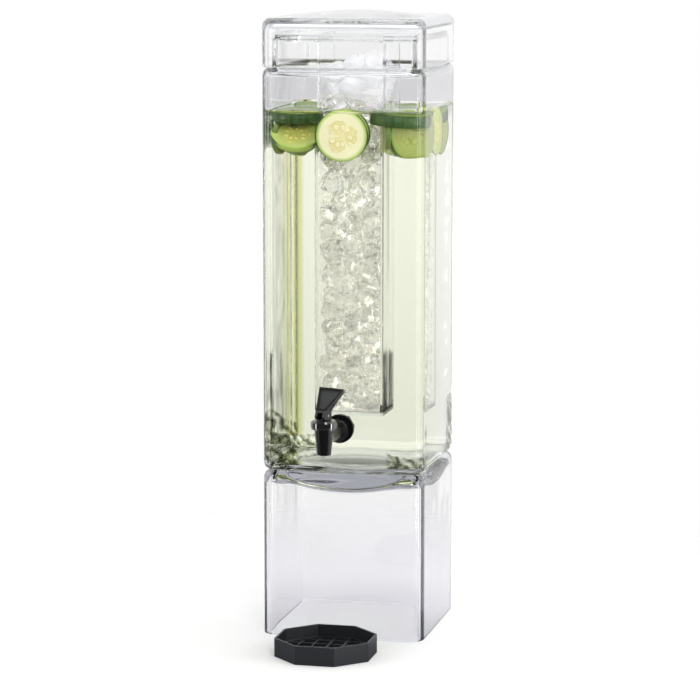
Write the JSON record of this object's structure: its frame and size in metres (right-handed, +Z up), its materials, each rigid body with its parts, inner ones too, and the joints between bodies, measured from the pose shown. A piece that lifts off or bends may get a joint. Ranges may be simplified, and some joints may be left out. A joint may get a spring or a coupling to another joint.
{
  "type": "beverage dispenser",
  "caption": "Square glass beverage dispenser with a hanging ice tube, glass lid, lever tap, glass pedestal and an eight-sided drip tray with a lattice",
  "frame": {"origin": "centre of the pedestal's foot, on the table", "axes": "+Z up, the tap looks along -Y, +X to the right of someone who faces the tap"},
  "size_m": [0.178, 0.298, 0.6753],
  "materials": {
    "glass": "smooth clear glass",
    "clear_plastic": "clear polished plastic",
    "black_plastic": "glossy black",
    "slate_plastic": "satin dark slate",
    "seal_rubber": "matte black",
    "soft_silicone": "milky",
    "steel": "drawn steel"
  },
  "bodies": {
    "pedestal": {"glass_base": "glass"},
    "jar": {"glass_jar": "glass", "tap_body": "black_plastic", "tap_bonnet": "black_plastic", "outer_washer": "seal_rubber", "inner_washer": "seal_rubber", "shank_nut": "black_plastic", "seat_cup": "soft_silicone", "valve_spring": "steel"},
    "ice_chamber": {"ice_tube": "clear_plastic", "ice_tube_floor": "clear_plastic", "ice_tube_flange": "clear_plastic"},
    "lid": {"glass_lid": "glass"},
    "stem": {"valve_stem": "black_plastic"},
    "lever": {"tap_handle": "black_plastic", "handle_pin": "steel"},
    "tray": {"drip_tray": "slate_plastic"},
    "lattice": {"drip_grid": "slate_plastic"}
  },
  "joints": [
    {"name": "jar_lift", "type": "slide", "parent": "pedestal", "child": "jar", "axis": [0, 0, 1], "range_m": [0, 0.06]},
    {"name": "ice_tube_lift", "type": "slide", "parent": "jar", "child": "ice_chamber", "axis": [0, 0, 1], "range_m": [0, 0.42]},
    {"name": "lid_lift", "type": "slide", "parent": "ice_chamber", "child": "lid", "axis": [0, 0, 1], "range_m": [0, 0.06]},
    {"name": "stem_lift", "type": "slide", "parent": "jar", "child": "stem", "axis": [0, 0, 1], "range_m": [0, 0.0035], "deforming": ["valve_spring", "seat_cup"]},
    {"name": "lever_pull", "type": "hinge", "parent": "stem", "child": "lever", "pos_m": [0, -0.165, 0.2586], "axis": [0.9397, -0.342, 0], "range_deg": [0, 65], "stiffness_Nm_per_rad": 0.05},
    {"name": "tray_slide", "type": "slide", "parent": "pedestal", "child": "tray", "axis": [0, -1, 0], "range_m": [0, 0.12]},
    {"name": "lattice_lift", "type": "slide", "parent": "tray", "child": "lattice", "axis": [0, 0, 1], "range_m": [0, 0.04]}
  ],
  "couplings": [
    {"joint": "stem_lift", "follows": "lever_pull", "m_per_rad": 0.003}
  ]
}
